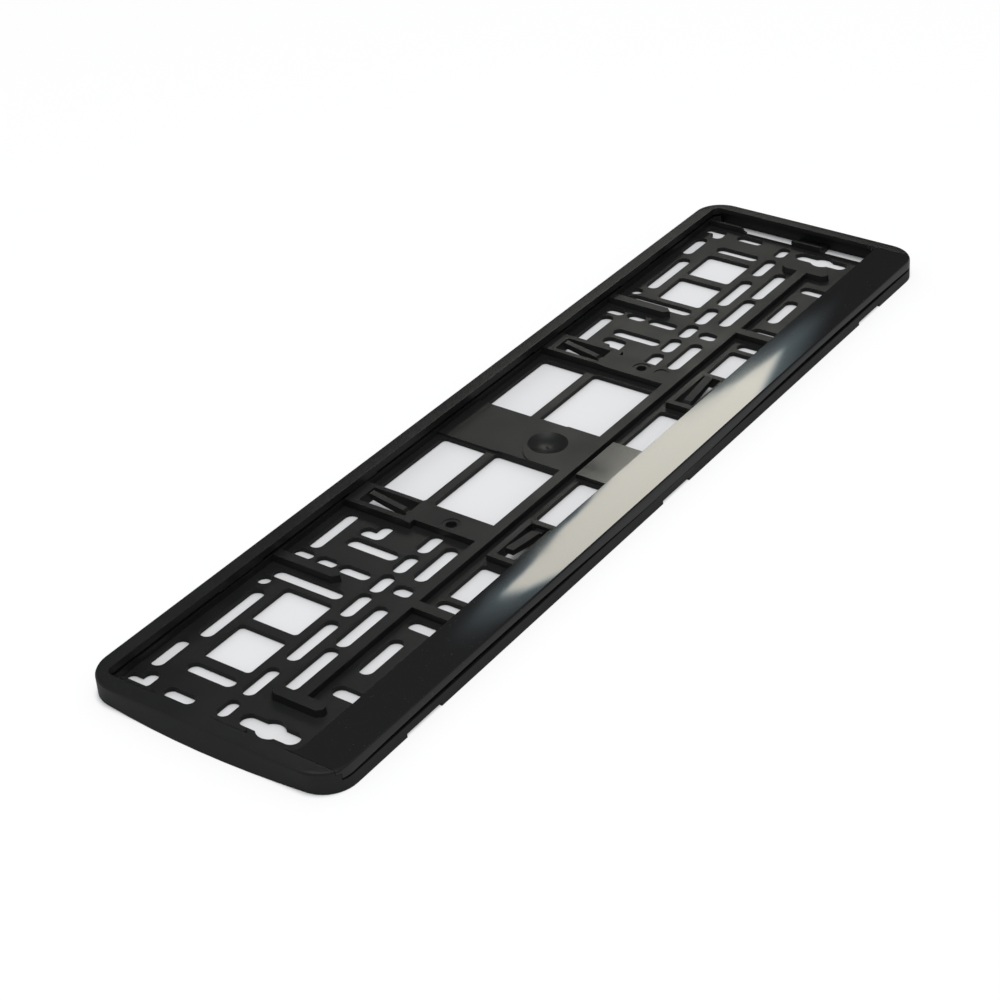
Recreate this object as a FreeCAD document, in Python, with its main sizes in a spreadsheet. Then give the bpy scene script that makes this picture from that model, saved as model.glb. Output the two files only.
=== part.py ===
import FreeCAD, Part
import math
import os

import Sketcher

# Number plate holder for a plate of 520 x 110 mm. It is a flat perforated
# moulding with a raised rim on three sides and a clip-on strip along the
# lower edge. It lies on its back: X runs along the plate, Y from the strip
# to the top rim, Z out of the face. Millimetres throughout.

doc = FreeCAD.newDocument("number_plate_holder")
sheet = doc.addObject("Spreadsheet::Sheet", "Sizes")

# Driving dimensions of the outline, the levels and the plate seat
SIZES = {
    "overall_length": 532.0,
    "overall_width": 133.2,
    "rim_height": 11.0,
    "end_bow_radius": 430.0,
    "top_bow_radius": 6000.0,
    "end_draft": 1.9,
    "side_draft": 0.9,
    "corner_radius": 15.5,
    "rim_edge": 1.3,
    "rim_knee": 0.39,
    "web_thickness": 2.2,
    "deck_height": 5.6,
    "plate_length": 520.0,
    "plate_play": 0.8,
    "top_lip_reach": 3.9,
    "top_lip_underside": 7.3,
    "end_lip_reach": 4.2,
    "end_lip_underside": 8.6,
    "top_wall": 4.6,
    "mouth_radius": 4.0,
    "cavity_radius": 11.0,
    "nib_depth": 0.7,
    "nib_width": 2.4,
    "inner_nib_start": 68.0,
    "inner_nib_end": 90.0,
    "outer_nib_start": 153.0,
    "outer_nib_end": 183.0,
    # Strip and the low wall that carries it
    "seam_height": 5.3,
    "seam_gap": 0.2,
    "end_gap": 0.2,
    "end_step": 2.3,
    "strip_width": 23.3,
    "strip_ear_radius": 5.5,
    "strip_thickness": 2.3,
    "strip_wall": 3.3,
    "low_wall": 2.8,
    "valley_half_width": 62.5,
    "valley_radius": 2170.0,
    "arch_edge_radius": 3250.0,
    "hook_pitch": 202.0,
    "hook_width": 18.0,
    "hook_thickness": 1.6,
    "hook_barb": 1.7,
    "hook_play": 0.4,
    "hook_foot": 0.3,
    "notch_height": 1.6,
    "notch_width": 24.0,
    # Openings under the end lips and the fences beside them
    "fence_outer": 251.5,
    "fence_thickness": 1.7,
    "corner_fence_foot": 38.2,
    "corner_fence_run": 3.4,
    "corner_fence_step": 2.38,
    "corner_fence_toe": 3.2,
    "middle_fence_head": 5.7,
    "middle_fence_foot": -12.4,
    "upper_opening_head": 55.1,
    "lower_opening_foot": -50.0,
    # Raised ribs on the web
    "rib_head": -14.0,
    "rib_width": 5.6,
    "tee_inner": 219.4,
    "tee_outer": 225.5,
    "tee_head": -4.3,
    "tee_foot": -30.7,
    "tee_chamfer": 2.0,
    "rib_draft": 9.0,
    "brace_inner": 140.8,
    "brace_outer": 146.3,
    "brace_tip": 22.3,
    "brace_chamfer": 2.4,
    "under_strip_gap": 6.8,
    # Beams with the two screw holes and the upper spring tongues
    "beam_inner": 75.5,
    "beam_outer": 93.4,
    "beam_narrow": 89.9,
    "beam_step": 20.3,
    "beam_ramp": 4.6,
    "beam_rise": 0.6,
    "screw_place": 84.0,
    "screw_level": 3.5,
    "screw_radius": 2.65,
    "collar_radius": 4.6,
    "collar_depth": 0.4,
    "date_place": 84.6,
    "date_level": -7.9,
    "date_radius": 3.7,
    "date_depth": 0.4,
    "upper_pocket_inner": 78.0,
    "upper_pocket_outer": 90.3,
    "upper_pocket_foot": 25.4,
    "upper_pocket_head": 52.0,
    "upper_tongue_width": 3.2,
    "lower_tongue_width": 4.3,
    "tongue_thickness": 2.8,
    "tongue_root": 3.2,
    "tongue_step": 1.2,
    "tongue_heel_height": 5.0,
    "tongue_tip_height": 8.0,
    "tongue_length": 19.2,
    # Boxes beside the strip that hold the lower spring tongues
    "box_inner": 60.9,
    "box_outer": 96.3,
    "box_head": -24.5,
    "box_foot": -41.0,
    "box_wall": 3.2,
    "lower_tongue_run": 21.5,
    # Centre panel, its dimple and the plain plaque below the rib
    "panel_half_width": 17.9,
    "panel_height": 3.8,
    "panel_head": 23.0,
    "apron_height": 3.3,
    "arch_radius": 19.6,
    "arch_level": -3.1,
    "arch_height": 4.3,
    "dimple_level": 5.5,
    "dimple_radius": 10.0,
    "dimple_depth": 2.8,
    "pip_radius": 0.8,
    "pip_height": 0.4,
    "plaque_half_width": 16.8,
    "plaque_height": 4.4,
    "plaque_head": -21.4,
    # Keyhole slots near the ends
    "keyhole_place": 241.5,
    "keyhole_level": -17.4,
    "keyhole_length": 30.6,
    "keyhole_width": 8.4,
    "keyhole_eye_level": -17.8,
    "keyhole_eye_radius": 6.4,
    # Pin hole and the corner rounding of the windows
    "pin_hole_place": 159.9,
    "pin_hole_level": 52.3,
    "pin_hole_radius": 3.45,
    "window_radius": 2.2,
}

# Slots that lie along X: level, slot width, then centre and length of each
SLOT_ROWS = {
    "brim_row": (52.7, 7.2, [(223.0, 22.0)]),
    "upper_row": (48.2, 7.4, [(187.0, 40.5)]),
    "inner_row": (50.0, 7.2, [(112.0, 33.0)]),
    "end_row": (6.2, 6.4, [(239.9, 12.0)]),
    "outer_row": (6.1, 6.8, [(218.6, 21.5)]),
    "middle_row": (5.4, 7.3, [(184.7, 32.4), (154.0, 19.4), (134.9, 15.0), (117.1, 15.5), (98.3, 16.4)]),
    "rib_row": (-6.7, 7.4, [(200.6, 33.0), (165.4, 33.5), (110.4, 29.8)]),
    "strip_row": (-26.9, 7.3, [(178.5, 27.6)]),
    "rim_angle_arm": (47.9, 7.0, [(242.2, 10.6)]),
    "beam_angle_arm": (29.9, 7.2, [(102.15, 13.5)]),
}

# Slots that lie along Y: place, slot width, then centre and length of each
SLOT_COLUMNS = {
    "end_column": (244.2, 6.4, [(28.9, 15.9)]),
    "outer_column": (226.0, 6.9, [(26.8, 25.9)]),
    "long_column": (152.4, 7.2, [(33.4, 38.5)]),
    "brace_column": (134.4, 6.7, [(50.1, 11.2), (36.8, 11.0), (20.9, 16.8)]),
    "tall_column": (115.3, 7.3, [(25.3, 28.1)]),
    "rib_column": (134.9, 7.6, [(-6.5, 10.5)]),
    "strip_column_outer": (206.6, 7.6, [(-40.05, 33.9)]),
    "strip_column_middle": (152.4, 7.6, [(-39.65, 34.7)]),
    "strip_column_inner": (134.2, 7.2, [(-40.8, 32.4)]),
    "rim_angle_leg": (244.6, 5.8, [(51.05, 13.3)]),
    "beam_angle_leg": (105.3, 7.2, [(32.85, 13.1)]),
}

# Windows with small corner radii: inner x, outer x, lower y, upper y
WINDOWS = {
    "outer_square": (191.2, 217.4, 13.5, 39.7),
    "inner_square": (159.6, 186.0, 13.3, 39.7),
    "upper_window": (18.3, 70.9, 28.3, 54.3),
    "lower_window": (18.0, 70.9, -14.0, 23.4),
    "outer_strip_window": (99.4, 127.4, -57.0, -24.7),
    "inner_strip_window": (17.5, 56.8, -57.0, -24.3),
}


def put(alias, value):
    """Write one size in the sheet under its own name."""
    put.row += 1
    cell = "B%d" % put.row
    sheet.set("A%d" % put.row, alias)
    sheet.set(cell, str(value))
    sheet.setAlias(cell, alias)


put.row = 0
for alias, value in SIZES.items():
    put(alias, value)
for name, (place, width, slots) in list(SLOT_ROWS.items()) + list(SLOT_COLUMNS.items()):
    put(name + "_place", place)
    put(name + "_width", width)
    for number, (centre, length) in enumerate(slots, 1):
        put("%s_centre_%d" % (name, number), centre)
        put("%s_length_%d" % (name, number), length)
for name, corners in WINDOWS.items():
    for side, value in zip(("inner", "outer", "foot", "head"), corners):
        put("%s_%s" % (name, side), value)
doc.recompute()


def worth(expression):
    """Number that an expression over the sheet's names gives."""
    return float(sheet.evalExpression(bound(expression)))


def bound(expression):
    """Expression with each of the sheet's names written in full."""
    words = expression.replace("(", " ( ").replace(")", " ) ").split()
    known = [w if sheet.getCellFromAlias(w) is None else "Sizes." + w for w in words]
    return " ".join(known)


def new_body(name):
    body = doc.addObject("PartDesign::Body", name)
    body.Label = name
    return body


def new_sketch(body, name, role="XY_Plane", height="0"):
    """Sketch on one of the body's own planes, moved out along its normal."""
    sketch = body.newObject("Sketcher::SketchObject", name)
    plane = [f for f in body.Origin.OriginFeatures if f.Role == role][0]
    sketch.AttachmentSupport = [(plane, "")]
    sketch.MapMode = "FlatFace"
    sketch.setExpression("AttachmentOffset.Base.z", bound(height))
    return sketch


pending = {}


def tie(sketch, constraint, expression=None):
    """Keep a constraint, and the size that drives it, until the sketch is settled."""
    pending.setdefault(sketch.Name, []).append((constraint, expression))


def settle(sketch):
    """Give a sketch all of its constraints at once."""
    waiting = pending.pop(sketch.Name)
    numbers = sketch.addConstraint([constraint for constraint, expression in waiting])
    for number, (constraint, expression) in zip(numbers, waiting):
        if expression is not None:
            sketch.setExpression("Constraints[%d]" % number, bound(expression))


def fix(sketch, kind, geometry, vertex, expression):
    """Tie a vertex's distance from the origin to the sheet."""
    tie(sketch, Sketcher.Constraint(kind, -1, 1, geometry, vertex, worth(expression)), expression)


def fix_radius(sketch, geometry, expression):
    tie(sketch, Sketcher.Constraint("Radius", geometry, worth(expression)), expression)


def vector(x, y):
    return FreeCAD.Vector(x, y, 0)


UP = FreeCAD.Vector(0, 0, 1)


def polygon(sketch, corners):
    """Closed outline of straight lines through corners given as expressions."""
    points = [vector(worth(x), worth(y)) for x, y in corners]
    first = sketch.GeometryCount
    count = len(points)
    for i in range(count):
        sketch.addGeometry(Part.LineSegment(points[i], points[(i + 1) % count]))
    for i in range(count):
        tie(sketch, Sketcher.Constraint("Coincident", first + i, 2, first + (i + 1) % count, 1))
        fix(sketch, "DistanceX", first + i, 1, corners[i][0])
        fix(sketch, "DistanceY", first + i, 1, corners[i][1])


def rectangle(sketch, x_low, x_high, y_low, y_high):
    polygon(sketch, [(x_low, y_low), (x_high, y_low), (x_high, y_high), (x_low, y_high)])


def rounded_rectangle(sketch, x_low, x_high, y_low, y_high, radius):
    """Rectangle of four lines joined by four tangent arcs."""
    left, right, foot, head, r = [worth(e) for e in (x_low, x_high, y_low, y_high, radius)]
    first = sketch.GeometryCount
    sketch.addGeometry(Part.LineSegment(vector(left + r, foot), vector(right - r, foot)))
    sketch.addGeometry(Part.LineSegment(vector(right, foot + r), vector(right, head - r)))
    sketch.addGeometry(Part.LineSegment(vector(right - r, head), vector(left + r, head)))
    sketch.addGeometry(Part.LineSegment(vector(left, head - r), vector(left, foot + r)))
    centres = [(right - r, foot + r), (right - r, head - r), (left + r, head - r), (left + r, foot + r)]
    for turn, (x, y) in enumerate(centres):
        circle = Part.Circle(vector(x, y), UP, r)
        sketch.addGeometry(Part.ArcOfCircle(circle, (turn - 1) * math.pi / 2, turn * math.pi / 2))
    for i in range(4):
        line, arc, following = first + i, first + 4 + i, first + (i + 1) % 4
        tie(sketch, Sketcher.Constraint("Tangent", line, 2, arc, 1))
        tie(sketch, Sketcher.Constraint("Tangent", arc, 2, following, 1))
    for i, kind in enumerate(("Horizontal", "Vertical", "Horizontal")):
        tie(sketch, Sketcher.Constraint(kind, first + i))
        tie(sketch, Sketcher.Constraint("Equal", first + 4, first + 5 + i))
    tie(sketch, Sketcher.Constraint("Vertical", first + 3))
    fix_radius(sketch, first + 4, radius)
    fix(sketch, "DistanceY", first, 1, y_low)
    fix(sketch, "DistanceX", first + 1, 1, x_high)
    fix(sketch, "DistanceY", first + 2, 1, y_high)
    fix(sketch, "DistanceX", first + 3, 1, x_low)


def round_slot(sketch, x, y, length, width, along_x):
    """Slot with half-round ends, about its centre."""
    reach = "( %s - %s ) / 2" % (length, width)
    radius = worth(width + " / 2")
    if along_x:
        ends = [("%s - %s" % (x, reach), y), ("%s + %s" % (x, reach), y)]
        shift, start = vector(0, radius), math.pi / 2
    else:
        ends = [(x, "%s - %s" % (y, reach)), (x, "%s + %s" % (y, reach))]
        shift, start = vector(-radius, 0), math.pi
    low, high = [vector(worth(a), worth(b)) for a, b in ends]
    half = start + math.pi
    full = half + math.pi
    first = sketch.GeometryCount
    sketch.addGeometry(Part.ArcOfCircle(Part.Circle(low, UP, radius), start, half))
    sketch.addGeometry(Part.LineSegment(low - shift, high - shift))
    sketch.addGeometry(Part.ArcOfCircle(Part.Circle(high, UP, radius), half, full))
    sketch.addGeometry(Part.LineSegment(high + shift, low + shift))
    for i in range(4):
        tie(sketch, Sketcher.Constraint("Tangent", first + i, 2, first + (i + 1) % 4, 1))
    tie(sketch, Sketcher.Constraint("Horizontal" if along_x else "Vertical", first + 1))
    tie(sketch, Sketcher.Constraint("Equal", first, first + 2))
    fix_radius(sketch, first, width + " / 2")
    fix(sketch, "DistanceX", first, 3, ends[0][0])
    fix(sketch, "DistanceY", first, 3, ends[0][1])
    if along_x:
        fix(sketch, "DistanceX", first + 2, 3, ends[1][0])
    else:
        fix(sketch, "DistanceY", first + 2, 3, ends[1][1])


def round_hole(sketch, x, y, radius):
    first = sketch.GeometryCount
    centre = vector(worth(x), worth(y))
    sketch.addGeometry(Part.Circle(centre, UP, worth(radius)))
    fix_radius(sketch, first, radius)
    fix(sketch, "DistanceX", first, 3, x)
    fix(sketch, "DistanceY", first, 3, y)


def pad(body, sketch, height, midplane=False):
    settle(sketch)
    feature = body.newObject("PartDesign::Pad", sketch.Name + "_pad")
    feature.Profile = sketch
    feature.Midplane = midplane
    feature.setExpression("Length", bound(height))
    return feature


def drafted_pad(body, sketch, depth, draft):
    """Pad down from a sketch at the rib's top, wider towards its foot."""
    feature = pad(body, sketch, depth)
    feature.Reversed = True
    feature.setExpression("TaperAngle", bound(draft))
    return feature


def pocket(body, sketch, depth, midplane=False):
    """Cut down from the sketch, or both ways from it."""
    settle(sketch)
    feature = body.newObject("PartDesign::Pocket", sketch.Name + "_pocket")
    feature.Profile = sketch
    feature.Midplane = midplane
    feature.setExpression("Length", bound(depth))
    return feature


def mirrored(body, features, name):
    """The same features on the other half of the holder."""
    feature = body.newObject("PartDesign::Mirrored", name)
    feature.Originals = features
    plane = [f for f in body.Origin.OriginFeatures if f.Role == "YZ_Plane"][0]
    feature.MirrorPlane = (plane, [""])
    body.Tip = feature
    return feature


def outline(sketch, half_length, half_width, bow_radius):
    """Outline with bowed short ends, every piece tangent to the next."""
    length, width, bow, r = [
        worth(e) for e in (half_length, half_width, bow_radius, "corner_radius")]
    bow_x = length - bow
    corner_y = width - r
    corner_x = bow_x + math.sqrt((bow - r) ** 2 - corner_y ** 2)
    touch_x = bow_x + (corner_x - bow_x) * bow / (bow - r)
    touch_y = corner_y * bow / (bow - r)
    slant = r * math.sqrt(0.5)
    chain = []
    for side, level in ((1, -1), (1, 1), (-1, 1), (-1, -1)):
        along = vector(side * corner_x, level * width)
        middle = vector(side * (corner_x + slant), level * (corner_y + slant))
        touch = vector(side * touch_x, level * touch_y)
        chain.append((along, middle, touch))
    first = sketch.GeometryCount
    sketch.addGeometry(Part.LineSegment(chain[3][0], chain[0][0]))
    sketch.addGeometry(Part.Arc(chain[0][0], chain[0][1], chain[0][2]))
    sketch.addGeometry(Part.Arc(chain[0][2], vector(length, 0), chain[1][2]))
    sketch.addGeometry(Part.Arc(chain[1][2], chain[1][1], chain[1][0]))
    sketch.addGeometry(Part.LineSegment(chain[1][0], chain[2][0]))
    sketch.addGeometry(Part.Arc(chain[2][0], chain[2][1], chain[2][2]))
    sketch.addGeometry(Part.Arc(chain[2][2], vector(-length, 0), chain[3][2]))
    sketch.addGeometry(Part.Arc(chain[3][2], chain[3][1], chain[3][0]))
    for i in range(8):
        tie(sketch, Sketcher.Constraint("Tangent", first + i, 2, first + (i + 1) % 8, 1))
    tie(sketch, Sketcher.Constraint("Horizontal", first))
    tie(sketch, Sketcher.Constraint("Horizontal", first + 4))
    for corner in (3, 5, 7):
        tie(sketch, Sketcher.Constraint("Equal", first + 1, first + corner))
    tie(sketch, Sketcher.Constraint("Equal", first + 2, first + 6))
    fix_radius(sketch, first + 1, "corner_radius")
    fix_radius(sketch, first + 2, bow_radius)
    fix(sketch, "DistanceY", first, 1, "0 - ( %s )" % half_width)
    fix(sketch, "DistanceY", first + 4, 1, half_width)
    fix(sketch, "DistanceX", first + 2, 3, "%s - %s" % (half_length, bow_radius))
    fix(sketch, "DistanceX", first + 6, 3, "%s - ( %s )" % (bow_radius, half_length))
    fix(sketch, "DistanceY", first + 2, 3, "0 * rim_height")
    fix(sketch, "DistanceY", first + 6, 3, "0 * rim_height")


def outer_block(body):
    """Solid block with the holder's outer shape, rounded off along its top."""
    foot = new_sketch(body, body.Name + "_foot")
    outline(foot, "overall_length / 2", "overall_width / 2", "end_bow_radius")
    settle(foot)
    sections = []
    for name, inset, drop in (
            ("shoulder", "0 * rim_edge", "rim_edge"),
            ("knee", "rim_knee", "rim_knee"),
            ("crown", "rim_edge", "0 * rim_edge")):
        section = new_sketch(body, "%s_%s" % (body.Name, name), height="rim_height - " + drop)
        outline(section, "overall_length / 2 - end_draft - " + inset,
                "overall_width / 2 - side_draft - " + inset, "top_bow_radius")
        settle(section)
        sections.append(section)
    loft = body.newObject("PartDesign::AdditiveLoft", body.Name + "_block")
    loft.Profile = foot
    loft.Sections = sections
    loft.Ruled = True


# Places that the plate's size sets, used by the holder and by the strip
END_WALL = "plate_length / 2 + plate_play"
MOUTH_END = END_WALL + " - end_lip_reach"
TOP_WALL = "overall_width / 2 - top_wall"
MOUTH_HEAD = TOP_WALL + " - top_lip_reach"
LOW_WALL = "0 - ( overall_width / 2 - low_wall )"
STRIP_EDGE = "0 - ( overall_width / 2 - strip_width )"
UNDER_STRIP_FOOT = LOW_WALL + " + under_strip_gap"
RIB_FOOT = "rib_head - rib_width"
THROUGH = "2 * rim_height"

base = new_body("base_frame")
outer_block(base)

# Room for the strip above the low wall
seat = new_sketch(base, "strip_seat", height="rim_height")
rectangle(seat, "0 - ( %s )" % MOUTH_END, MOUTH_END,
          "0 - overall_width", STRIP_EDGE + " + 2 * strip_ear_radius")
pocket(base, seat, "rim_height - end_lip_underside")
wall_seat = new_sketch(base, "strip_wall_seat", height="rim_height")
rectangle(wall_seat, "0 - ( %s - end_step )" % MOUTH_END, MOUTH_END + " - end_step",
          "0 - overall_width", STRIP_EDGE + " + 2 * strip_ear_radius")
pocket(base, wall_seat, "rim_height - seam_height")

# Mouth between the lips, and the hollow that runs out under the end lips
mouth = new_sketch(base, "plate_mouth", height="rim_height")
rounded_rectangle(mouth, "0 - ( %s )" % MOUTH_END, MOUTH_END,
                  STRIP_EDGE, MOUTH_HEAD, "mouth_radius")
pocket(base, mouth, "rim_height - web_thickness")
hollow = new_sketch(base, "plate_hollow", height="end_lip_underside")
rounded_rectangle(hollow, "0 - ( %s )" % END_WALL, END_WALL, LOW_WALL, MOUTH_HEAD, "cavity_radius")
pocket(base, hollow, "end_lip_underside - web_thickness")

# Groove under the top lip that takes the plate's upper edge
groove = new_sketch(base, "top_groove", height="top_lip_underside")
rounded_rectangle(groove, "0 - ( %s )" % END_WALL, END_WALL, "0 * rim_height", TOP_WALL, "cavity_radius")
pocket(base, groove, "top_lip_underside - deck_height")

# Ribs: one along the middle and a plain plaque and panel at the centre
rib = new_sketch(base, "middle_rib")
rectangle(rib, "0 - tee_inner", "tee_inner", RIB_FOOT, "rib_head")
pad(base, rib, "deck_height")
plaque = new_sketch(base, "plaque")
rectangle(plaque, "0 - plaque_half_width", "plaque_half_width", UNDER_STRIP_FOOT, "plaque_head")
pad(base, plaque, "plaque_height")
apron = new_sketch(base, "apron")
rectangle(apron, "0 - panel_half_width", "panel_half_width", "rib_head", MOUTH_HEAD)
pad(base, apron, "apron_height")
panel = new_sketch(base, "panel")
rectangle(panel, "0 - panel_half_width", "panel_half_width", "rib_head", "panel_head")
pad(base, panel, "panel_height")
arch = new_sketch(base, "arch")
side, radius, level, foot_level = [
    worth(e) for e in ("panel_half_width", "arch_radius", "arch_level", "rib_head")]
spring = level + math.sqrt(radius ** 2 - side ** 2)
arch.addGeometry(Part.LineSegment(vector(-side, foot_level), vector(side, foot_level)))
arch.addGeometry(Part.LineSegment(vector(side, foot_level), vector(side, spring)))
arch.addGeometry(Part.Arc(vector(side, spring), vector(0, level + radius), vector(-side, spring)))
arch.addGeometry(Part.LineSegment(vector(-side, spring), vector(-side, foot_level)))
for i in range(4):
    tie(arch, Sketcher.Constraint("Coincident", i, 2, (i + 1) % 4, 1))
tie(arch, Sketcher.Constraint("Horizontal", 0))
tie(arch, Sketcher.Constraint("Vertical", 1))
tie(arch, Sketcher.Constraint("Vertical", 3))
fix_radius(arch, 2, "arch_radius")
fix(arch, "DistanceX", 2, 3, "0 * arch_radius")
fix(arch, "DistanceY", 2, 3, "arch_level")
fix(arch, "DistanceX", 1, 2, "panel_half_width")
fix(arch, "DistanceX", 2, 2, "0 - panel_half_width")
fix(arch, "DistanceY", 0, 1, "rib_head")
pad(base, arch, "arch_height")

# Ribs of the right-hand half
ribs = []
tee = new_sketch(base, "tee", height="deck_height")
polygon(tee, [
    ("tee_inner + tee_chamfer", "tee_foot"),
    ("tee_outer - tee_chamfer", "tee_foot"),
    ("tee_outer", "tee_foot + tee_chamfer"),
    ("tee_outer", "tee_head - tee_chamfer"),
    ("tee_outer - tee_chamfer", "tee_head"),
    ("tee_inner + tee_chamfer", "tee_head"),
    ("tee_inner", "tee_head - tee_chamfer"),
    ("tee_inner", "tee_foot + tee_chamfer"),
])
ribs.append(drafted_pad(base, tee, "deck_height - web_thickness / 2", "rib_draft"))
brace = new_sketch(base, "upper_brace", height="deck_height")
polygon(brace, [
    ("brace_inner + brace_chamfer", "brace_tip"),
    ("brace_outer - brace_chamfer", "brace_tip"),
    ("brace_outer", "brace_tip + brace_chamfer"),
    ("brace_outer", MOUTH_HEAD),
    ("brace_inner", MOUTH_HEAD),
    ("brace_inner", "brace_tip + brace_chamfer"),
])
ribs.append(drafted_pad(base, brace, "deck_height - web_thickness / 2", "rib_draft"))
low_brace = new_sketch(base, "lower_brace")
rectangle(low_brace, "brace_inner", "brace_outer", UNDER_STRIP_FOOT, RIB_FOOT)
ribs.append(pad(base, low_brace, "deck_height"))
beam = new_sketch(base, "beam")
polygon(beam, [
    ("beam_inner", "rib_head"),
    ("beam_narrow", "rib_head"),
    ("beam_narrow", "beam_step"),
    ("beam_outer", "beam_step"),
    ("beam_outer", MOUTH_HEAD),
    ("beam_inner", MOUTH_HEAD),
])
ribs.append(pad(base, beam, "deck_height"))
ramp = new_sketch(base, "beam_ramp_side", "YZ_Plane", "beam_inner")
polygon(ramp, [
    ("beam_step", "web_thickness"),
    (MOUTH_HEAD, "web_thickness"),
    (MOUTH_HEAD, "deck_height + beam_rise"),
    ("beam_step + beam_ramp", "deck_height + beam_rise"),
    ("beam_step", "deck_height"),
])
ribs.append(pad(base, ramp, "beam_outer - beam_inner"))
box = new_sketch(base, "tongue_box")
rectangle(box, "box_inner", "box_outer", "box_foot", "box_head")
ribs.append(pad(base, box, "deck_height"))
corner_fence = new_sketch(base, "corner_fence", "YZ_Plane", "fence_outer - fence_thickness")
polygon(corner_fence, [
    ("corner_fence_foot - corner_fence_run", "web_thickness / 2"),
    (MOUTH_HEAD, "web_thickness / 2"),
    (MOUTH_HEAD, "deck_height"),
    ("corner_fence_foot", "deck_height"),
    ("corner_fence_foot - corner_fence_step", "corner_fence_toe"),
    ("corner_fence_foot - corner_fence_run", "corner_fence_toe"),
])
ribs.append(pad(base, corner_fence, "fence_thickness"))
middle_fence = new_sketch(base, "middle_fence")
rectangle(middle_fence, "fence_outer - fence_thickness", "fence_outer",
          "middle_fence_foot", "middle_fence_head")
ribs.append(pad(base, middle_fence, "deck_height"))
for name in ("inner_nib", "outer_nib"):
    nib = new_sketch(base, name, height="top_lip_underside - nib_depth")
    rectangle(nib, name + "_start", name + "_end", MOUTH_HEAD, MOUTH_HEAD + " + nib_width")
    ribs.append(pad(base, nib, "nib_depth"))
mirrored(base, ribs, "both_halves_of_ribs")

# Spring tongues that press the plate against the lips
wells = new_sketch(base, "tongue_wells")
rounded_rectangle(wells, "upper_pocket_inner", "upper_pocket_outer",
                  "upper_pocket_foot", "upper_pocket_head", "window_radius / 2")
rounded_rectangle(wells, "box_inner + box_wall", "box_outer - box_wall",
                  "box_foot + box_wall", "box_head - box_wall", "window_radius / 2")
round_hole(wells, "screw_place", "screw_level", "screw_radius")
tongues = [pocket(base, wells, THROUGH, midplane=True)]
collar = new_sketch(base, "screw_collar", height="deck_height")
round_hole(collar, "screw_place", "screw_level", "collar_radius")
tongues.append(pocket(base, collar, "collar_depth"))
upper = new_sketch(base, "upper_tongue", "YZ_Plane", "screw_place")
heel = "upper_pocket_foot + tongue_root + tongue_step"
tip = heel + " + tongue_length"
polygon(upper, [
    ("upper_pocket_foot - tongue_step", "tongue_heel_height - tongue_step - tongue_thickness"),
    ("upper_pocket_foot + tongue_root", "tongue_heel_height - tongue_step - tongue_thickness"),
    (tip, "tongue_tip_height - tongue_thickness"),
    (tip, "tongue_tip_height"),
    (heel, "tongue_heel_height"),
    ("upper_pocket_foot + tongue_root", "tongue_heel_height - tongue_step"),
    ("upper_pocket_foot - tongue_step", "tongue_heel_height - tongue_step"),
])
tongues.append(pad(base, upper, "upper_tongue_width", midplane=True))
lower = new_sketch(base, "lower_tongue", "XZ_Plane", "0 - ( box_head + box_foot ) / 2")
low_root = "box_inner + box_wall"
low_heel = low_root + " + tongue_root + tongue_step"
low_tip = low_heel + " + lower_tongue_run"
polygon(lower, [
    (low_root + " - tongue_step", "tongue_heel_height - tongue_step - tongue_thickness"),
    (low_root + " + tongue_root", "tongue_heel_height - tongue_step - tongue_thickness"),
    (low_tip, "tongue_tip_height - tongue_thickness"),
    (low_tip, "tongue_tip_height"),
    (low_heel, "tongue_heel_height"),
    (low_root + " + tongue_root", "tongue_heel_height - tongue_step"),
    (low_root + " - tongue_step", "tongue_heel_height - tongue_step"),
])
tongues.append(pad(base, lower, "lower_tongue_width", midplane=True))
mirrored(base, tongues, "both_halves_of_tongues")

# Shallow round recess on one beam
date = new_sketch(base, "date_recess", height="deck_height")
round_hole(date, "date_place", "date_level", "date_radius")
pocket(base, date, "date_depth")

# Notches in the foot of the low wall and slots for the strip's hooks
for name, place in (("middle", "0 * hook_pitch"), ("right", "hook_pitch"), ("left", "0 - hook_pitch")):
    notch = new_sketch(base, name + "_notch")
    rectangle(notch, place + " - notch_width / 2", place + " + notch_width / 2",
              "0 - overall_width", LOW_WALL)
    pocket(base, notch, "2 * notch_height", midplane=True)
    well = new_sketch(base, name + "_hook_well")
    rectangle(well, place + " - hook_width / 2 - hook_play", place + " + hook_width / 2 + hook_play",
              LOW_WALL, LOW_WALL + " + hook_thickness + 2 * hook_play")
    pocket(base, well, THROUGH, midplane=True)

# Dimple in the centre panel, with its pip
dimple = new_sketch(base, "dimple", "YZ_Plane")
dimple.setExpression("AttachmentOffset.Base.x", bound("dimple_level"))
r, deep, top = [worth(e) for e in ("dimple_radius", "dimple_depth", "arch_height")]
sphere = (r * r + deep * deep) / (2 * deep)
axis_foot = vector(0, top - deep)
rim_point = vector(r, top)
between = vector(r / 2, top - deep + sphere - math.sqrt(sphere ** 2 - (r / 2) ** 2))
above = worth("rim_height")
dimple.addGeometry(Part.Arc(axis_foot, between, rim_point))
dimple.addGeometry(Part.LineSegment(rim_point, vector(r, above)))
dimple.addGeometry(Part.LineSegment(vector(r, above), vector(0, above)))
dimple.addGeometry(Part.LineSegment(vector(0, above), axis_foot))
for i in range(4):
    tie(dimple, Sketcher.Constraint("Coincident", i, 2, (i + 1) % 4, 1))
tie(dimple, Sketcher.Constraint("Vertical", 1))
tie(dimple, Sketcher.Constraint("Horizontal", 2))
tie(dimple, Sketcher.Constraint("Vertical", 3))
fix(dimple, "DistanceX", 3, 2, "0 * dimple_radius")
fix(dimple, "DistanceY", 3, 2, "arch_height - dimple_depth")
fix(dimple, "DistanceX", 1, 1, "dimple_radius")
fix(dimple, "DistanceY", 1, 1, "arch_height")
fix(dimple, "DistanceY", 2, 1, "rim_height")
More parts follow.
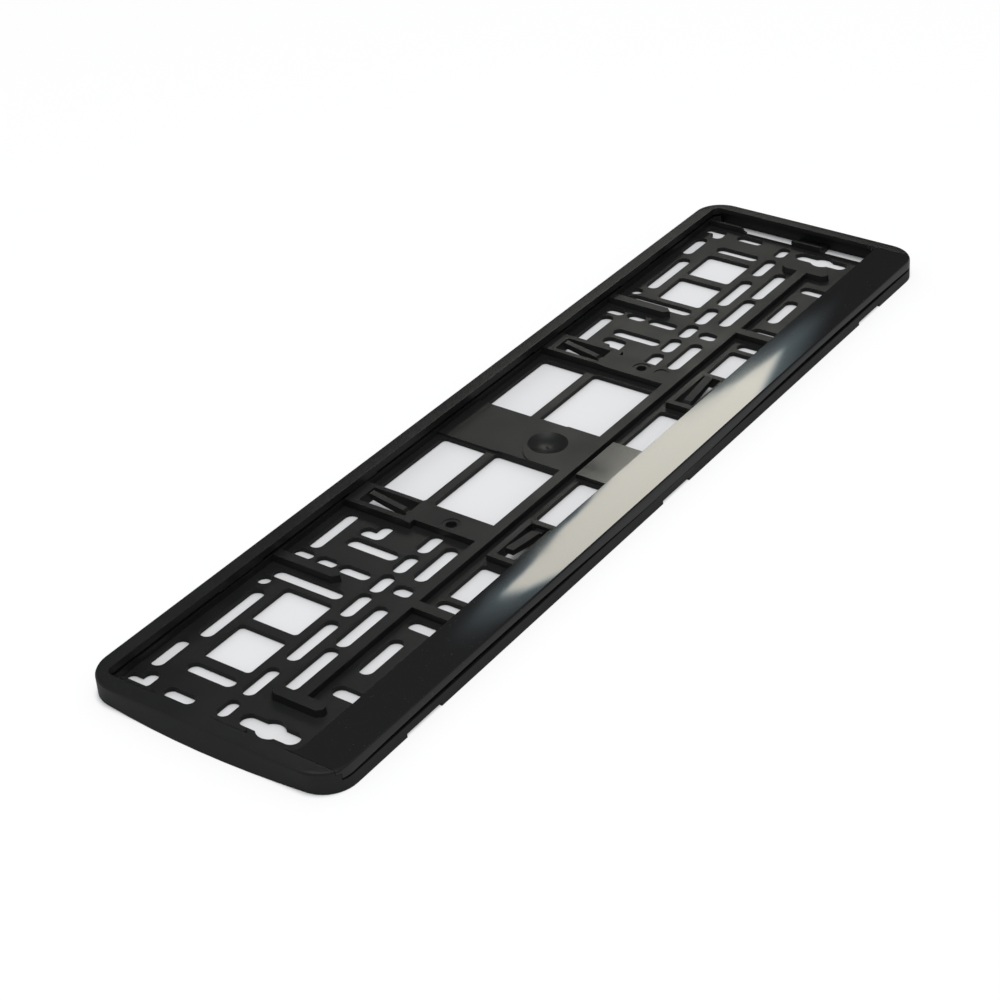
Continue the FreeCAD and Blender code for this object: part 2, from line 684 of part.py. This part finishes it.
fix_radius(dimple, 0, "dimple_radius * dimple_radius / ( 2 * dimple_depth ) + dimple_depth / 2")
settle(dimple)
bowl = base.newObject("PartDesign::Groove", "dimple_bowl")
bowl.Profile = dimple
bowl.ReferenceAxis = (dimple, ["V_Axis"])
bowl.Angle = 360.0
pip = new_sketch(base, "pip", height="web_thickness / 2")
round_hole(pip, "0 * pip_radius", "dimple_level", "pip_radius")
pad(base, pip, "arch_height - dimple_depth + pip_height - web_thickness / 2")

# Slots and windows through the web
cuts = []
rows = new_sketch(base, "slots_along")
for name, (level, width, slots) in SLOT_ROWS.items():
    for number in range(1, len(slots) + 1):
        round_slot(rows, "%s_centre_%d" % (name, number), name + "_place",
                   "%s_length_%d" % (name, number), name + "_width", True)
cuts.append(pocket(base, rows, THROUGH, midplane=True))
columns = new_sketch(base, "slots_across")
for name, (place, width, slots) in SLOT_COLUMNS.items():
    for number in range(1, len(slots) + 1):
        round_slot(columns, name + "_place", "%s_centre_%d" % (name, number),
                   "%s_length_%d" % (name, number), name + "_width", False)
round_slot(columns, "keyhole_place", "keyhole_level", "keyhole_length", "keyhole_width", False)
cuts.append(pocket(base, columns, THROUGH, midplane=True))
windows = new_sketch(base, "windows")
for name in WINDOWS:
    rounded_rectangle(windows, name + "_inner", name + "_outer", name + "_foot", name + "_head",
                      "window_radius")
cuts.append(pocket(base, windows, THROUGH, midplane=True))
end_openings = new_sketch(base, "end_openings")
for foot, head in (("middle_fence_head", "upper_opening_head"),
                   ("lower_opening_foot", "middle_fence_foot")):
    rectangle(end_openings, "fence_outer", END_WALL, foot, head)
cuts.append(pocket(base, end_openings, "2 * deck_height", midplane=True))
holes = new_sketch(base, "round_holes")
round_hole(holes, "pin_hole_place", "pin_hole_level", "pin_hole_radius")
round_hole(holes, "keyhole_place", "keyhole_eye_level", "keyhole_eye_radius")
cuts.append(pocket(base, holes, THROUGH, midplane=True))
mirrored(base, cuts, "both_halves_of_openings")

# Clip-on strip, cut from the same outer block
strip = new_body("bottom_strip")
outer_block(strip)
STRIP_END = MOUTH_END + " - end_gap"
upper_cut = new_sketch(strip, "strip_mouth", height="rim_height")
rounded_rectangle(upper_cut, "0 - ( %s )" % STRIP_END, STRIP_END,
                  STRIP_EDGE, "overall_width", "strip_ear_radius")
pocket(strip, upper_cut, "2 * rim_height", midplane=True)
for name, near, far in (
        ("right", STRIP_END, "overall_length"),
        ("left", "0 - overall_length", "0 - ( %s )" % STRIP_END)):
    end_cut = new_sketch(strip, name + "_strip_end", height="rim_height")
    rectangle(end_cut, near, far, "0 - overall_width", "overall_width")
    pocket(strip, end_cut, "2 * rim_height", midplane=True)
for name, near, far in (
        ("right", STRIP_END + " - end_step", "overall_length"),
        ("left", "0 - overall_length", "0 - ( %s - end_step )" % STRIP_END)):
    wall_cut = new_sketch(strip, name + "_wall_end", height="end_lip_underside + end_gap / 2")
    rectangle(wall_cut, near, far, "0 - overall_width", "overall_width")
    pocket(strip, wall_cut, "2 * rim_height")
inside = new_sketch(strip, "strip_hollow", height="rim_height - strip_thickness")
rounded_rectangle(inside, "0 - ( %s )" % END_WALL, END_WALL,
                  "0 - ( overall_width / 2 - strip_wall )", "overall_width", "cavity_radius")
pocket(strip, inside, "rim_height")

# Lower edge of the strip: a shallow valley between two long arches
edge = new_sketch(strip, "strip_lower_edge", "XZ_Plane")
a, r_valley, r_side, z_low = [worth(e) for e in (
    "valley_half_width", "valley_radius", "arch_edge_radius", "seam_height + seam_gap")]
far_x = worth("overall_length / 2")
z_join = z_low + r_valley - math.sqrt(r_valley ** 2 - a ** 2)
side_x = a + a * r_side / r_valley
side_z = z_join - math.sqrt(r_side ** 2 - (side_x - a) ** 2)


def on_side(x):
    """Level of the arch on the right at a distance from the middle."""
    return side_z + math.sqrt(r_side ** 2 - (x - side_x) ** 2)


deep_z = -worth("rim_height")
far_z = on_side(far_x)
edge.addGeometry(Part.Arc(vector(far_x, far_z), vector(side_x, on_side(side_x)), vector(a, z_join)))
edge.addGeometry(Part.Arc(vector(-a, z_join), vector(0, z_low), vector(a, z_join)))
edge.addGeometry(Part.Arc(vector(-a, z_join), vector(-side_x, on_side(side_x)), vector(-far_x, far_z)))
edge.addGeometry(Part.LineSegment(vector(-far_x, far_z), vector(-far_x, deep_z)))
edge.addGeometry(Part.LineSegment(vector(-far_x, deep_z), vector(far_x, deep_z)))
edge.addGeometry(Part.LineSegment(vector(far_x, deep_z), vector(far_x, far_z)))
tie(edge, Sketcher.Constraint("Tangent", 0, 2, 1, 2))
tie(edge, Sketcher.Constraint("Tangent", 1, 1, 2, 1))
for i in range(2, 6):
    tie(edge, Sketcher.Constraint("Coincident", i, 2, (i + 1) % 6, 1))
tie(edge, Sketcher.Constraint("Vertical", 3))
tie(edge, Sketcher.Constraint("Horizontal", 4))
tie(edge, Sketcher.Constraint("Vertical", 5))
fix_radius(edge, 0, "arch_edge_radius")
fix_radius(edge, 1, "valley_radius")
fix_radius(edge, 2, "arch_edge_radius")
fix(edge, "DistanceX", 0, 1, "overall_length / 2")
fix(edge, "DistanceX", 1, 1, "0 - valley_half_width")
fix(edge, "DistanceX", 1, 2, "valley_half_width")
fix(edge, "DistanceX", 2, 2, "0 - overall_length / 2")
fix(edge, "DistanceX", 1, 3, "0 * valley_radius")
fix(edge, "DistanceY", 1, 3, "seam_height + seam_gap + valley_radius")
fix(edge, "DistanceY", 4, 1, "0 - rim_height")
pocket(strip, edge, "2 * overall_width", midplane=True)

# Hooks that pass behind the low wall and catch in its notches
LEG_OUT = "0 - ( overall_width / 2 - low_wall - hook_play )"
LEG_IN = LEG_OUT + " + hook_thickness"
BARB_TOP = "notch_height - hook_play"
for name, place in (("middle", "0 * hook_pitch"), ("right", "hook_pitch"), ("left", "0 - hook_pitch")):
    hook = new_sketch(strip, name + "_hook", "YZ_Plane", place)
    polygon(hook, [
        (LEG_IN, "rim_height - strip_thickness / 2"),
        (LEG_OUT, "rim_height - strip_thickness / 2"),
        (LEG_OUT, BARB_TOP),
        (LEG_OUT + " - hook_barb", BARB_TOP),
        (LEG_OUT + " - hook_barb", BARB_TOP + " - hook_foot"),
        (LEG_OUT, "hook_foot"),
        (LEG_IN, "hook_foot"),
    ])
    pad(strip, hook, "hook_width", midplane=True)

doc.recompute()
os.makedirs("parts", exist_ok=True)
for item in doc.Objects:
    if "Invalid" in item.State or "Error" in item.State:
        raise RuntimeError("feature did not build: " + item.Label)
for body in (base, strip):
    if body.Shape.isNull() or not body.Shape.isValid() or len(body.Shape.Solids) != 1:
        raise RuntimeError("unsound solid: " + body.Label)
    body.Shape.exportStep("parts/%s.step" % body.Label)
    box_size = body.Shape.BoundBox
    print(body.Label, round(body.Shape.Volume), box_size.XLength, box_size.YLength, box_size.ZLength)
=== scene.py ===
# %% [markdown]
# # Number plate holder
#
# A flat, perforated black plastic holder for a number plate lies on its back
# on white paper. The camera stands low, off the near left corner, and looks
# along the holder. The base is one satin moulding, and the strip that clips
# on along its lower edge is a glossy one. Sizes are in metres.
#
# Both mouldings come from the CAD model, so this script only rounds their
# edges, gives them their plastics and builds a small studio round them.

import math

import bpy
from mathutils import Euler, Matrix, Vector

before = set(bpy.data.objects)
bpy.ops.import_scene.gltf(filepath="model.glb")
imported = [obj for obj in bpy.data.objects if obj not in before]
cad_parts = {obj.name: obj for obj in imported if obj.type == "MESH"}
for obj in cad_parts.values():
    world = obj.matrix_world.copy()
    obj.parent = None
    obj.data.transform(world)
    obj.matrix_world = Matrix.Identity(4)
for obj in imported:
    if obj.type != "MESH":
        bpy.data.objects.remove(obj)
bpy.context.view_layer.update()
scene = bpy.context.scene
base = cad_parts["base_frame"]
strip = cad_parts["bottom_strip"]
print("loaded", base.name, "and", strip.name)

# %% [markdown]
# ## Rounded edges
#
# A mould is cut with small radii, so no edge of the real holder is knife
# sharp, and each one catches a thin line of light. The radii could be cut in
# the CAD solids, which would add hundreds of tiny faces, or be faked in the
# shader, which leaves the outline sharp. A Bevel modifier does neither. It
# rounds only edges that turn by more than a set angle, so the facets of the
# holes and of the bowl stay smooth. The CAD mesh comes in as loose triangles,
# so a Weld modifier joins their corners first. Weighted Normal comes last and
# keeps the large flat faces flat.

# %% Round the moulded edges
WELD_DISTANCE = 1e-6
SHARP_ANGLE = math.radians(24)
EDGE_ROUNDING = 0.00022
LARGE_FACE_WEIGHT = 90


def round_edges(node):
    weld = node.modifiers.new("weld", "WELD")
    weld.merge_threshold = WELD_DISTANCE
    bevel = node.modifiers.new("edge rounding", "BEVEL")
    bevel.limit_method = "ANGLE"
    bevel.angle_limit = SHARP_ANGLE
    bevel.width = EDGE_ROUNDING
    bevel.segments = 2
    for polygon in node.data.polygons:
        polygon.use_smooth = True
    smooth = node.modifiers.new("normals", "WEIGHTED_NORMAL")
    smooth.weight = LARGE_FACE_WEIGHT
    print("rounded", node.name, "with", len(node.data.polygons), "faces")


round_edges(base)
round_edges(strip)

# %% [markdown]
# ## Node helpers
#
# A material is a tree of nodes, and a tree that is typed out node by node
# gets long. These few helpers add a node, set or link its sockets and hand
# back an output, so a finish below reads almost like a sum.

# %% Add a node and feed its sockets


def feed(tree, socket, value):
    """Links a socket to another one, or sets it to a number or a colour."""
    if isinstance(value, bpy.types.NodeSocket):
        tree.links.new(value, socket)
    else:
        socket.default_value = value


def add(tree, kind, **settings):
    """Adds a node. The socket Base Color is written Base_Color here."""
    node = tree.nodes.new(kind)
    for key, value in settings.items():
        socket = key.replace("_", " ")
        if socket in node.inputs:
            feed(tree, node.inputs[socket], value)
        else:
            setattr(node, key, value)
    return node


def new_material(name):
    """An empty material and its node tree."""
    material = bpy.data.materials.new(name)
    material.use_nodes = True
    material.node_tree.nodes.clear()
    print("making", name)
    return material, material.node_tree


# %% Sums, masks and colours


def math_node(tree, operation, *values):
    """A sum whose inputs are sockets or plain numbers."""
    node = add(tree, "ShaderNodeMath", operation=operation)
    for socket, value in zip(node.inputs, values):
        feed(tree, socket, value)
    return node.outputs[0]


def all_of(tree, first, *others):
    """A mask that is one only where every given mask is one."""
    product = first
    for mask in others:
        product = math_node(tree, "MULTIPLY", product, mask)
    return product


def ramp(tree, value, low, high, start=0.0, end=1.0):
    """A smooth step that goes from start, at low, to end, at high."""
    node = add(tree, "ShaderNodeMapRange", interpolation_type="SMOOTHSTEP", Value=value,
               From_Min=low, From_Max=high, To_Min=start, To_Max=end)
    return node.outputs["Result"]


def blend(tree, mask, first, second, kind="MIX"):
    """A colour that a mask leads from the first to the second."""
    node = add(tree, "ShaderNodeMix", data_type="RGBA", blend_type=kind,
               Factor=mask, A=first, B=second)
    return node.outputs["Result"]


def either(tree, mask, first, second):
    """A shader that a mask leads from the first to the second."""
    node = add(tree, "ShaderNodeMixShader", Fac=mask)
    feed(tree, node.inputs[1], first)
    feed(tree, node.inputs[2], second)
    return node.outputs["Shader"]


# %% Patterns that stay put on the object


def object_place(tree):
    """The place on the object, which is the same from every side."""
    return tree.nodes.new("ShaderNodeTexCoord").outputs["Object"]


def object_axes(tree):
    """The same place as three numbers."""
    apart = add(tree, "ShaderNodeSeparateXYZ", Vector=object_place(tree))
    return apart.outputs["X"], apart.outputs["Y"], apart.outputs["Z"]


def noise(tree, scale, detail):
    """Cloudy noise from 0 to 1, where a larger scale is finer."""
    node = add(tree, "ShaderNodeTexNoise", Vector=object_place(tree), Scale=scale, Detail=detail)
    return node.outputs["Fac"]


# %% [markdown]
# ## Moulding wear
#
# Moulded plastic is never spotless. It carries fine specks of dust, and its
# gloss changes a little from place to place. Each material could have its own
# noise, but both plastics share the effect, so it is one node group that each
# of them uses with its own numbers. The strip takes both masks and the base
# only the second, because dust shows on a polished face. The group puts out
# masks only. The shader stays in the material, where the export can read it.

# %% One group for specks and uneven gloss
SPECK_RANGE = (0.68, 0.76)


def wear_group():
    group = bpy.data.node_groups.new("moulding wear", "ShaderNodeTree")
    face = group.interface
    face.new_socket("Speck Scale", in_out="INPUT", socket_type="NodeSocketFloat")
    face.new_socket("Patch Scale", in_out="INPUT", socket_type="NodeSocketFloat")
    face.new_socket("Specks", in_out="OUTPUT", socket_type="NodeSocketFloat")
    face.new_socket("Patches", in_out="OUTPUT", socket_type="NodeSocketFloat")
    given = group.nodes.new("NodeGroupInput").outputs
    dust = noise(group, given["Speck Scale"], detail=3.0)
    patches = noise(group, given["Patch Scale"], detail=4.0)
    add(group, "NodeGroupOutput", Specks=ramp(group, dust, *SPECK_RANGE), Patches=patches)
    print("made the group", group.name)
    return group


wear = wear_group()

# %% [markdown]
# ## Satin plastic of the base
#
# The base comes out of a finely grained mould. It is black and glows only
# where light skims over it. The small plaque at the middle of its lower edge
# is polished, so it mirrors more. The plaque could be a piece of its own with
# its own material, but on the real holder it is part of the one moulding. So
# a mask on Object coordinates finds it, and the roughness drops there.

# %% Find the polished plaque
PLAQUE_HALF = 0.0169
PLAQUE_HEAD = -0.0213
PLAQUE_TOP = 0.0042


def polished_plaque(tree):
    """A mask that is one on the plaque's top face."""
    x, y, z = object_axes(tree)
    inside = math_node(tree, "LESS_THAN", math_node(tree, "ABSOLUTE", x), PLAQUE_HALF)
    below = math_node(tree, "LESS_THAN", y, PLAQUE_HEAD)
    above = math_node(tree, "GREATER_THAN", z, PLAQUE_TOP)
    return all_of(tree, inside, below, above)


# %% Satin black plastic
PATCH_RANGE = (0.3, 0.7)
BASE_PATCH_SCALE = 38.0
BASE_DARK = (0.0075, 0.0077, 0.0078, 1)
BASE_PALE = (0.0125, 0.0126, 0.0124, 1)
BASE_ROUGHNESS = (0.36, 0.46)
BASE_SPECULAR = 0.32
PLAQUE_POLISH = 0.26
GRAIN_SCALE = 2600.0
GRAIN_HEIGHT = 0.00004
GRAIN_STRENGTH = 0.10
PLASTIC_IOR = 1.5


def satin_plastic():
    material, tree = new_material("satin black plastic")
    marks = add(tree, "ShaderNodeGroup", node_tree=wear, Patch_Scale=BASE_PATCH_SCALE)
    patches = marks.outputs["Patches"]
    satin = ramp(tree, patches, *PATCH_RANGE, *BASE_ROUGHNESS)
    polish = math_node(tree, "MULTIPLY", polished_plaque(tree), PLAQUE_POLISH)
    grain = add(tree, "ShaderNodeBump", Strength=GRAIN_STRENGTH, Distance=GRAIN_HEIGHT,
                Height=noise(tree, GRAIN_SCALE, detail=2.0))
    shader = add(tree, "ShaderNodeBsdfPrincipled", IOR=PLASTIC_IOR,
                 Specular_IOR_Level=BASE_SPECULAR,
                 Base_Color=blend(tree, patches, BASE_DARK, BASE_PALE),
                 Roughness=math_node(tree, "SUBTRACT", satin, polish),
                 Normal=grain.outputs["Normal"])
    add(tree, "ShaderNodeOutputMaterial", Surface=shader.outputs["BSDF"])
    return material


# %% [markdown]
# ## Glossy plastic of the strip
#
# The strip comes out of a polished mould and works like a dark mirror. A coat
# over a dull plastic could look like this too, but a moulded strip has no
# lacquer, so its own roughness is low. Dust sits on it as pale specks, and
# small changes of gloss break up the reflection.

# %% Glossy black plastic
STRIP_PATCH_SCALE = 24.0
STRIP_SPECK_SCALE = 900.0
STRIP_BLACK = (0.0125, 0.0125, 0.0127, 1)
STRIP_DUST = (0.05, 0.048, 0.044, 1)
STRIP_ROUGHNESS = (0.03, 0.06)


def gloss_plastic():
    material, tree = new_material("glossy black plastic")
    marks = add(tree, "ShaderNodeGroup", node_tree=wear, Speck_Scale=STRIP_SPECK_SCALE,
                Patch_Scale=STRIP_PATCH_SCALE)
    gloss = ramp(tree, marks.outputs["Patches"], *PATCH_RANGE, *STRIP_ROUGHNESS)
    shader = add(tree, "ShaderNodeBsdfPrincipled", IOR=PLASTIC_IOR, Roughness=gloss,
                 Base_Color=blend(tree, marks.outputs["Specks"], STRIP_BLACK, STRIP_DUST))
    add(tree, "ShaderNodeOutputMaterial", Surface=shader.outputs["BSDF"])
    return material


# %% Give each solid its plastic


def give(node, material):
    node.data.materials.clear()
    node.data.materials.append(material)
    print(node.name, "is", material.name)


give(base, satin_plastic())
give(strip, gloss_plastic())

# %% [markdown]
# ## White paper
#
# The holder was photographed on white paper, which the camera sees as pure
# white round the holder and as a very light grey through its openings. More
# light would bleach the black plastic too. So the open paper gets some glow
# of its own for camera rays only, up to the holder's rounded outline, and the
# covered paper stays plain and gets painted shade that makes it a little darker.
# In reflections it gets darker painted shade still, standing in for the shaded paper under the
# holder that black plastic mirrors.

# %% Find the paper that the holder covers
HALF_LENGTH = 0.266
HALF_WIDTH = 0.0666
CORNER = 0.0155


def beyond_outline(tree):
    """Metres past the holder's rounded outline, and negative under it."""
    x, y, _ = object_axes(tree)
    squares = []
    for axis, half in ((x, HALF_LENGTH), (y, HALF_WIDTH)):
        reach = math_node(tree, "ABSOLUTE", axis)
        over = math_node(tree, "SUBTRACT", reach, half - CORNER)
        squares.append(math_node(tree, "POWER", math_node(tree, "MAXIMUM", over, 0.0), 2.0))
    away = math_node(tree, "SQRT", math_node(tree, "ADD", *squares))
    return math_node(tree, "SUBTRACT", away, CORNER)


# %% White paper
PAPER = ((0.80, 0.80, 0.81, 1), (0.82, 0.82, 0.82, 1))
MOTTLE_SCALE = 3.0
# Painted shade on the paper under the holder, and more of it in reflections.
COVERED_SHADE = (0.78, 0.78, 0.78, 1)
COVERED_EDGE = (-0.006, -0.001)
MIRRORED_SHADE = (0.35, 0.35, 0.35, 1)
GLOW_EDGE = (-0.003, 0.0)
PAPER_GLOW = 0.75


def table_material():
    material, tree = new_material("white table")
    rays = tree.nodes.new("ShaderNodeLightPath").outputs
    beyond = beyond_outline(tree)
    painted_shade_mask = ramp(tree, beyond, *COVERED_EDGE, 1.0, 0.0)
    paper = blend(tree, noise(tree, MOTTLE_SCALE, detail=2.0), *PAPER)
    # Painted shade: the paper under the holder is darkened, and darker still in reflections.
    paper = blend(tree, painted_shade_mask, paper, COVERED_SHADE, "MULTIPLY")
    paper = blend(tree, rays["Is Glossy Ray"], paper, MIRRORED_SHADE, "MULTIPLY")
    plain = add(tree, "ShaderNodeBsdfDiffuse", Color=paper).outputs["BSDF"]
    glowing = add(tree, "ShaderNodeEmission").outputs["Emission"]
    open_paper = ramp(tree, beyond, *GLOW_EDGE, 0.0, PAPER_GLOW)
    share = math_node(tree, "MULTIPLY", open_paper, rays["Is Camera Ray"])
    add(tree, "ShaderNodeOutputMaterial", Surface=either(tree, share, plain, glowing))
    return material


# %% Lay the table under the holder
TABLE_SIZE = 9.0
TABLE_LEVEL = -0.0003

bpy.ops.mesh.primitive_plane_add(size=TABLE_SIZE, location=(0, 0, TABLE_LEVEL))
table = bpy.context.object
table.name = "table"
table.data.materials.append(table_material())
print("table", TABLE_SIZE, "m wide at", TABLE_LEVEL)

# %% [markdown]
# ## Room
#
# The room is a white studio. One white world would do for a pale object, but
# black plastic shows what stands round it, and in a white room it photographs
# grey. So the world gives each kind of ray its own brightness: pure white to
# the camera, soft light for the plain shading, and a dim, cool room in the
# reflections.

# %% White studio with dim reflections
CAMERA_WHITE = ((1, 1, 1, 1), 1.0)
SOFT_LIGHT = ((0.97, 0.98, 1.0, 1), 0.87)
DIM_ROOM = ((0.90, 0.96, 1.0, 1), 0.09)


def sky(tree, color, strength):
    node = add(tree, "ShaderNodeBackground", Color=color, Strength=strength)
    return node.outputs["Background"]


def build_room():
    world = bpy.data.worlds.new("studio")
    scene.world = world
    world.use_nodes = True
    tree = world.node_tree
    tree.nodes.clear()
    rays = tree.nodes.new("ShaderNodeLightPath").outputs
    room = either(tree, rays["Is Glossy Ray"], sky(tree, *SOFT_LIGHT), sky(tree, *DIM_ROOM))
    room = either(tree, rays["Is Camera Ray"], room, sky(tree, *CAMERA_WHITE))
    add(tree, "ShaderNodeOutputWorld", Surface=room)
    print("room", world.name, "with", len(tree.nodes), "nodes")


build_room()

# %% [markdown]
# ## Lamps
#
# A studio lights such a part from a large soft box, so its shadows are faint.
# A small lamp could do that only with hard shadows, so the main lamp is an
# area lamp over a metre wide. A second, weak one stands behind the far right
# corner. The satin base spreads its reflection into a soft sheen.

# %% Soft overhead lamp and a weak one behind


def lamp(name, place, size, power):
    """An area lamp that faces the middle of the holder."""
    data = bpy.data.lights.new(name, "AREA")
    data.shape = "RECTANGLE"
    data.size, data.size_y = size
    data.energy = power
    item = bpy.data.objects.new(name, data)
    scene.collection.objects.link(item)
    item.location = place
    item.rotation_euler = (-Vector(place)).to_track_quat("-Z", "Y").to_euler()
    print("lamp", name, "with", power, "W")


lamp("overhead", place=(-0.35, -0.30, 2.1), size=(1.1, 1.1), power=22.0)
lamp("behind", place=(1.545, 1.207, 0.999), size=(0.35, 0.30), power=1.0)

# %% [markdown]
# ## Light card
#
# On the photograph the strip mirrors a white card, and the reflection ends in
# two slanted points with a cooler fringe. A lamp would give a plain
# rectangle. So the card is a sheet in the direction that the strip mirrors
# into the camera, and its material decides where it glows. Its bright core
# lies between two slanted edges, with a faint blue glow round it. Its X and Y
# run along and up the card. Only reflections see it.

# %% Where the card glows
LEFT_EDGE = (0.767, 0.641)
RIGHT_EDGE = (0.388, 0.922)
SHAKE_SCALE = 22.0
SHAKE = 0.018
NOISE_MIDDLE = 0.5
CORE = {
    "left": (-0.035, -0.029, 0.0, 1.0),
    "right": (-0.054, -0.047, 0.0, 1.0),
    "up": (0.150, 0.170, 1.0, 0.0),
    "along": (0.148, 0.170, 1.0, 0.0),
}
FRINGE = {
    "left": (-0.060, -0.030, 0.0, 1.0),
    "right": (-0.100, -0.048, 0.0, 1.0),
    "up": (0.150, 0.230, 1.0, 0.0),
    "along": (0.150, 0.240, 1.0, 0.0),
}


def card_places(tree):
    """Places along and up the card and past its two slanted, uneven edges."""
    along, up, _ = object_axes(tree)
    wave = math_node(tree, "SUBTRACT", noise(tree, SHAKE_SCALE, detail=2.0), NOISE_MIDDLE)
    shake = math_node(tree, "MULTIPLY", wave, SHAKE)
    places = {"along": along, "up": up}
    for name, (along_share, up_share) in (("left", LEFT_EDGE), ("right", RIGHT_EDGE)):
        across = math_node(tree, "ADD", math_node(tree, "MULTIPLY", along, along_share),
                           math_node(tree, "MULTIPLY", up, up_share))
        places[name] = math_node(tree, "ADD", across, shake)
    return places


def patch(tree, places, bounds):
    """A mask that fades out at each of the given bounds."""
    return all_of(tree, *[ramp(tree, places[name], *fade) for name, fade in bounds.items()])


# %% Light card material
CORE_POWER = 6.2
CORE_COLOR = (1.0, 0.97, 0.86, 1)
FRINGE_POWER = 1.1
FRINGE_COLOR = (0.70, 0.92, 1.0, 1)


def card_material():
    material, tree = new_material("light card")
    places = card_places(tree)
    core = patch(tree, places, CORE)
    fringe = patch(tree, places, FRINGE)
    power = math_node(tree, "ADD", math_node(tree, "MULTIPLY", fringe, FRINGE_POWER),
                      math_node(tree, "MULTIPLY", core, CORE_POWER))
    color = blend(tree, core, FRINGE_COLOR, CORE_COLOR)
    light = add(tree, "ShaderNodeEmission", Color=color, Strength=power)
    add(tree, "ShaderNodeOutputMaterial", Surface=light.outputs["Emission"])
    return material


# %% Stand the card where the strip mirrors it
CARD_SIZE = 1.3
CARD_CENTRE = Vector((1.1639, 0.6378, 0.8628))
CARD_ALONG = Vector((0.5115, -0.8593, 0.0))
CARD_UP = Vector((-0.4575, -0.2723, 0.8465))

bpy.ops.mesh.primitive_plane_add(size=CARD_SIZE)
card = bpy.context.object
card.name = "light card"
turn = Matrix((CARD_ALONG, CARD_UP, CARD_ALONG.cross(CARD_UP))).transposed()
card.matrix_world = Matrix.Translation(CARD_CENTRE) @ turn.to_4x4()
card.data.materials.append(card_material())
card.visible_camera = False
card.visible_diffuse = False
card.visible_shadow = False
print("card", round(CARD_CENTRE.length, 2), "m from the holder")

# %% [markdown]
# ## Camera
#
# The photograph was taken with a long lens from the near left, above the
# strip. The camera could be placed by eye, but its place, turn and focal
# length were fitted to the mirrored slots of the holder, so that the render
# lies over the photograph.

# %% Camera at the photograph's angle
CAMERA_PLACE = (-0.767104, -0.511647, 0.572417)
CAMERA_TURN = (57.00324, 1.95912, -55.77887)
FOCAL_LENGTH = 80.563

camera = bpy.data.objects.new("camera", bpy.data.cameras.new("camera"))
scene.collection.objects.link(camera)
camera.location = CAMERA_PLACE
camera.rotation_euler = Euler([math.radians(angle) for angle in CAMERA_TURN], "XYZ")
camera.data.sensor_width = 36.0
camera.data.lens = FOCAL_LENGTH
camera.data.clip_start = 0.01
scene.camera = camera
scene.view_settings.view_transform = "Standard"
print("camera", round(camera.location.length, 3), "m away, with a lens of", FOCAL_LENGTH, "mm")
